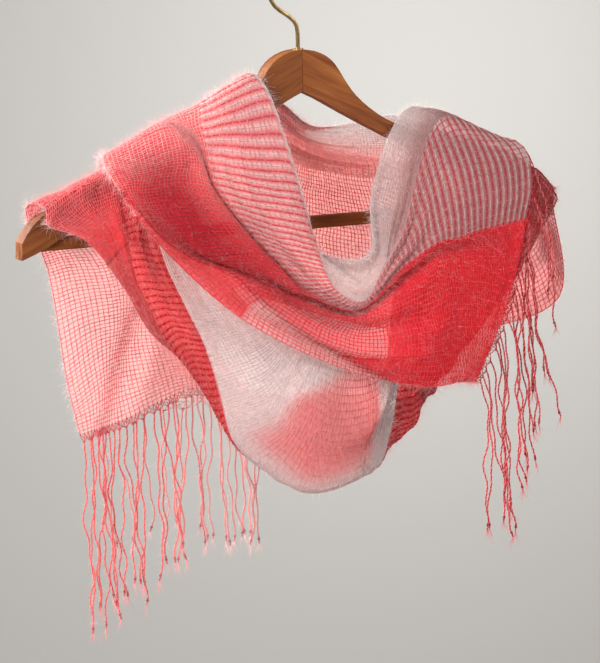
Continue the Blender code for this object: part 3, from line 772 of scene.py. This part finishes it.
# ---------------------------------------------------------------- the hairs
HAIR_WIDTH = 0.00011
HAIR_SPREAD = 0.75
HAIR_CURL = 0.35
HAIR_SAG = np.array([0, 0, 0.12])
HAIR_STEPS = (0.0, 0.55, 1.0)
FUZZ_HAIRS = 96000
FUZZ_LENGTHS = (0.003, 0.0095)
FUZZ_PIECES = 2
CREST_SHARE, CREST_REACH = 0.16, 1.6  # this share of the hairs sits so near to a crest over the left arm
EDGE_SHARE = 0.12  # this share sits on the selvedges
# The white in the hairs is painted sheen, where the fine hairs catch the light.
HAIR_SHEEN, EDGE_HAIR_SHEEN = 0.4, 0.65  # the share of white in a hair's colour


def fibres(roots, away, colours, length, width, rng):
    """Fine curved hairs from roots, leaning away from the cloth; length is a (low, high) pair."""
    count = len(roots)
    lean = unit(away + rng.normal(0, HAIR_SPREAD, (count, 3)))
    curl = unit(rng.normal(0, 1, (count, 3)))
    reach = rng.uniform(*length, count)[:, None]
    lines = [
        roots + lean * reach * t + curl * reach * HAIR_CURL * t * t - HAIR_SAG * reach * t * t
        for t in HAIR_STEPS
    ]
    return ribbons(np.stack(lines, axis=1), width, colours)


def build_fuzz(stations, grid, normals, colours, look):
    """Mohair hairs that stand off both faces of the cloth, more along its edges and over the left arm."""
    wefts, warps = grid.shape[:2]
    rows = RNG.integers(0, wefts, FUZZ_HAIRS)
    to_crest = np.minimum(np.abs(stations - OVER_LEFT_SHOULDER), np.abs(stations - OVER_LEFT_ARM))
    crest = np.flatnonzero(to_crest < CREST_REACH)
    rows = np.where(RNG.random(FUZZ_HAIRS) < CREST_SHARE, RNG.choice(crest, FUZZ_HAIRS), rows)
    cols = RNG.integers(0, warps, FUZZ_HAIRS)
    edge = RNG.random(FUZZ_HAIRS) < EDGE_SHARE
    cols[edge] = RNG.choice([0, warps - 1], edge.sum())
    sign = RNG.choice([-1.0, 1.0], (FUZZ_HAIRS, 1))
    # Painted sheen: the hairs take white, more on the selvedges.
    painted_sheen = np.where(edge, EDGE_HAIR_SHEEN, HAIR_SHEEN)[:, None]
    paint = (1 - painted_sheen) * colours[rows, cols] + painted_sheen * np.array(WHITE)
    away = normals[rows, cols] * sign * 0.8
    made = []
    for i, part in enumerate(np.array_split(np.argsort(rows, kind="stable"), FUZZ_PIECES)):
        roots = grid[rows[part], cols[part]]
        shape = fibres(roots, away[part], paint[part], FUZZ_LENGTHS, HAIR_WIDTH, RNG)
        made.append(mesh_object(f"scarf_fuzz_{i + 1}", *shape, look))
    return made


# ---------------------------------------------------------------- the fringe
STRAND_STEP = 0.0012
STRAND_START = 4  # steps below the edge, where the gathered warps meet
PLY_PITCH = 0.0052
PLY_OFFSET = 0.00040
PLY_RADIUS = 0.00038
KNOT_PLACE, KNOT_LENGTH = 0.003, 0.0013  # from the strand's end
GATHER_RADIUS = 0.0003
STRAND_HAIRS = 110
STRAND_HAIR_LENGTHS = (0.002, 0.006)
TUFT_HAIRS = 7
TUFT_LENGTHS = (0.004, 0.010)
TUFT_WIDTH = 0.00028

# Strand lengths in metres and colours by share of the width.
LEFT_LENGTHS = ((0, 0.150), (0.1, 0.144), (0.3, 0.130), (0.6, 0.110), (1, 0.098))
RIGHT_LENGTHS = ((0, 0.128), (0.1, 0.144), (0.25, 0.150), (0.4, 0.132), (0.5, 0.114), (0.8, 0.100))
LEFT_COLOURS = ((0, FRINGE_PINK), (0.3, FRINGE_PINK), (0.46, FRINGE_PALE), (1, FRINGE_PALE))
RIGHT_COLOURS = ((0, FRINGE_RED), (0.45, FRINGE_RED), (0.72, FRINGE_RED_TOP), (1, FRINGE_RED_TOP))


def strand_line(root, out, reach, length, sway, phase, drift):
    """Centre line of a hanging strand: it leaves the cloth's edge outwards and then falls."""
    steps = max(30, int(length / STRAND_STEP))
    t = np.linspace(0, length, steps)
    leave = reach * (1 - np.exp(-t / 0.006))
    fall = t - 0.8 * leave
    grow = np.clip(t / 0.03, 0, 1)
    wobble = np.sin(t / 0.0105 + phase[0]) + 0.6 * np.sin(t / 0.0047 + phase[1])
    wobble = wobble + 0.8 * np.sin(t / 0.023 + phase[2])
    depth = np.sin(t / 0.0125 + phase[3]) + 0.5 * np.sin(t / 0.0055 + phase[1])
    line = root + out * leave[:, None] + np.outer(fall, [0, 0, -1.0])
    line[:, 0] += sway * grow * wobble + drift[0] * (t / length) ** 1.5
    line[:, 1] += 0.6 * sway * grow * depth + drift[1] * grow
    return line


def plied(line, colour, twist):
    """Two plies twisted about a centre line, with a knot near the end."""
    side, up = sides_of(line[None])
    t = np.arange(len(line)) * STRAND_STEP
    turn = 2 * math.pi * t / PLY_PITCH + twist
    knot = bump_shape((t - t[-1] + KNOT_PLACE) / KNOT_LENGTH, 2)
    offset = PLY_OFFSET * (1 + 0.8 * knot)
    shapes = []
    for half, ply in ((0, colour), (math.pi, 0.5 * colour + 0.5 * np.array(FRINGE_PALE))):
        path = line + (np.cos(turn + half) * offset)[:, None] * side[0]
        path = path + (np.sin(turn + half) * offset)[:, None] * up[0]
        # The knot is painted darker, as shade among its wraps.
        paint = (ply * (1 - 0.4 * knot[:, None]))[None]
        shapes.append(tubes(path[None], (PLY_RADIUS * (1 + 0.7 * knot))[None], paint))
    return shapes


def build_fringe(label, grid, row, shares, lengths, colours, drift, look, rng):
    """All the strands along one end of the strip, each from a few warps gathered below the edge.

    lengths and colours are tables by share of the width, and drift gives a strand's lean there in x and y.
    """
    edge = grid[row]
    out = unit(edge - grid[1 if row == 0 else row - 1])
    warps = len(edge)
    shapes = []
    for v in shares:
        place = v * (warps - 1)
        i = min(int(place), warps - 2)
        root = edge[i] + (edge[i + 1] - edge[i]) * (place - i)
        colour = np.array([along_strip([(share, c[k]) for share, c in colours], v) for k in range(3)])
        colour = np.clip(colour * rng.uniform(0.85, 1.1), 0, 0.97)
        length = float(along_strip(lengths, v)) * rng.uniform(0.88, 1.04)
        lean = (rng.normal(0, 0.006) + drift(v)[0], rng.normal(0, 0.002) + drift(v)[1])
        reach = np.interp(v, [0.3, 0.42], [0.006, 0.0015])
        sway = rng.uniform(0.0008, 0.0019)
        phase = rng.uniform(0, 6.3, 4)
        line = strand_line(root, out[i], reach, length, sway, phase, lean)
        shapes += plied(line[STRAND_START:], colour, rng.uniform(0, 6.3))
        for k in (-2, -1, 0, 1, 2):
            j = min(max(i + k, 0), warps - 1)
            gather = np.linspace(edge[j], line[STRAND_START + 1], 5)
            gather += out[i] * np.sin(np.linspace(0, math.pi, 5))[:, None] * 0.0006
            # The gathered warps are painted a little darker, as shade under the cloth's edge.
            shapes.append(tubes(gather[None], GATHER_RADIUS, np.broadcast_to(colour * 0.9, (1, 5, 3))))
        tuft = np.repeat(line[-1:], TUFT_HAIRS, axis=0)
        down = np.broadcast_to([0, 0, -2.6], tuft.shape)
        paint = np.broadcast_to(colour * 0.85 + 0.08, tuft.shape)
        shapes.append(fibres(tuft, down, paint, TUFT_LENGTHS, TUFT_WIDTH, rng))
        hairs = line[rng.integers(STRAND_START, len(line), STRAND_HAIRS)]
        # Painted sheen: the strand's hairs take white.
        painted_sheen = np.broadcast_to(0.4 * colour + 0.6 * np.array(WHITE), hairs.shape)
        shapes.append(fibres(hairs, np.zeros(hairs.shape), painted_sheen, STRAND_HAIR_LENGTHS, HAIR_WIDTH, rng))
    return mesh_object(f"fringe_{label}_strands", *joined(shapes), look)


def no_drift(v):
    """The left fringe hangs straight down."""
    return 0.0, 0.0


def right_drift(v):
    """The right fringe leans out to the right, and its upper strands hang clear of the cloth behind."""
    return 0.004 + 0.020 * min(v, 0.4), -0.004 - 0.10 * max(v - 0.42, 0)


def spread_shares(first, last, count, rng):
    """Places along the edge for strands, unevenly spaced."""
    even = np.linspace(first, last, count)
    return np.clip(even + rng.normal(0, 0.25, count) * (last - first) / count, 0.003, 0.997)


def build_scarf():
    """The woven strip with its haze and hairs, and the fringe at each end."""
    record = frame["record"]["behaviour"]["bodies"]
    stations, shares, grid, normals = weave_grid()
    weft_paint, warp_paint, haze_paint = band_colours(stations, shares)
    haze_look = yarn_material("mohair_haze", 0.46, 0.06, gaps=True)
    film = build_film(stations, shares, grid, haze_paint, haze_look)
    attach(film, "scarf")
    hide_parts(*record["scarf"])
    yarn_look = yarn_material("mohair_yarn", 0.66, 0.18)
    soft = build_yarns(stations, shares, grid, normals, weft_paint, warp_paint, yarn_look)
    fuzz_look = yarn_material("mohair_fuzz", 0.5, 0.3)
    soft += build_fuzz(stations, grid, normals, haze_paint, fuzz_look)
    for obj in soft:
        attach(obj, "scarf")
    rng = np.random.default_rng(21)
    left_shares = np.append(spread_shares(0.01, 0.46, 24, rng), spread_shares(0.5, 0.99, 14, rng))
    left = build_fringe("left", grid, 0, left_shares, LEFT_LENGTHS, LEFT_COLOURS, no_drift, yarn_look, rng)
    right_shares = np.append(spread_shares(0.01, 0.46, 21, rng), spread_shares(0.52, 0.66, 3, rng))
    right = build_fringe(
        "right", grid, -1, right_shares, RIGHT_LENGTHS, RIGHT_COLOURS, right_drift, yarn_look, rng
    )
    for label, piece, slot in (("left", left, "fringe_pale"), ("right", right, "fringe_red")):
        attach(piece, f"fringe_{label}")
        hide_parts(*record[f"fringe_{label}"])


def build_hanger_looks():
    """Wood and metal for the nodes that keep their CAD mesh."""
    slope = math.radians(26)  # of the arms' grain
    looks = {
        "hanger_arm_left": wood_material("wood_left", slope, 0.31, 0.46),
        "hanger_arm_right": wood_material("wood_right", -slope, 0.83, 0.56),
        "trouser_bar": wood_material("wood_bar", 0.0, 0.57, 0.5),
        "hook": metal_material("brass", (0.40, 0.28, 0.13), (0.20, 0.13, 0.06), 0.3),
        "hook_bushing": metal_material("brass_bushing", (0.55, 0.38, 0.16), (0.34, 0.2, 0.08), 0.35),
        "hook_retainer": metal_material("steel", (0.5, 0.5, 0.5), (0.3, 0.3, 0.3), 0.4),
        "bar_nail_left": metal_material("nail", (0.5, 0.48, 0.45), (0.3, 0.28, 0.25), 0.4),
    }
    looks["bar_nail_right"] = looks["bar_nail_left"]
    for name, look in looks.items():
        obj = bpy.data.objects[name]
        obj.data.materials.clear()
        obj.data.materials.append(look)


# ---------------------------------------------------------------- camera, light and stage
def build_camera():
    """The photograph's view, from the front left and a little above."""
    azimuth, elevation, roll = math.radians(25), math.radians(9), math.radians(1.5)
    distance = 2.4
    focus = Vector((-0.005, -0.0015, -0.2783))
    back = Vector((
        -math.sin(azimuth) * math.cos(elevation),
        -math.cos(azimuth) * math.cos(elevation),
        math.sin(elevation),
    ))
    camera = bpy.data.objects.new("camera", bpy.data.cameras.new("camera"))
    bpy.context.scene.collection.objects.link(camera)
    turn = back.to_track_quat("Z", "Y").to_matrix().to_4x4() @ Matrix.Rotation(-roll, 4, "Z")
    camera.matrix_world = Matrix.Translation(focus + back * distance) @ turn
    camera.data.lens = 175.9
    camera.data.sensor_width = 36
    bpy.context.scene.camera = camera


def area_light(name, place, aim, size, power, colour=(1, 1, 1)):
    """A square soft light that the camera doesn't see."""
    light = bpy.data.lights.new(name, "AREA")
    light.size = size
    light.energy = power
    light.color = colour
    obj = bpy.data.objects.new(name, light)
    obj.location = place
    obj.visible_camera = False
    obj.rotation_euler = (Vector(aim) - Vector(place)).to_track_quat("-Z", "Y").to_euler()
    bpy.context.scene.collection.objects.link(obj)
    return obj


def build_stage():
    """Floor, backdrop, soft surroundings and four area lights."""
    mat, _, shader = new_material("backdrop_paint")
    shader.inputs["Base Color"].default_value = (0.465, 0.452, 0.434, 1)
    shader.inputs["Roughness"].default_value = 0.95
    for name, size, place, turn in (
        ("floor", 80, (0, 0, -2.8), (0, 0, 0)),
        ("backdrop", 24, (0, 5.2, 0), (math.radians(90), 0, 0)),
    ):
        bpy.ops.mesh.primitive_plane_add(size=size, location=place, rotation=turn)
        obj = bpy.context.object
        obj.name = name
        obj.data.materials.append(mat)
    world = bpy.data.worlds.new("studio")
    bpy.context.scene.world = world
    world.use_nodes = True
    world.node_tree.nodes["Background"].inputs["Color"].default_value = (1.0, 0.985, 0.96, 1)
    world.node_tree.nodes["Background"].inputs["Strength"].default_value = 0.75
    scarf_middle = (0, 0, -0.25)
    area_light("rim", (-1.5, 1.4, 0.7), scarf_middle, 0.7, 125, (1, 0.97, 0.94))
    area_light("fill", (1.8, -2.2, 0.6), scarf_middle, 1.8, 46)
    area_light("key", (-2.0, -1.3, 0.8), scarf_middle, 1.2, 84)
    area_light("wall", (2.8, 3.6, -0.52), (2.75, 5.2, -0.7), 1.0, 25.5)


bpy.context.scene.view_settings.view_transform = "Standard"
build_camera()
build_stage()
build_hanger_looks()
build_scarf()
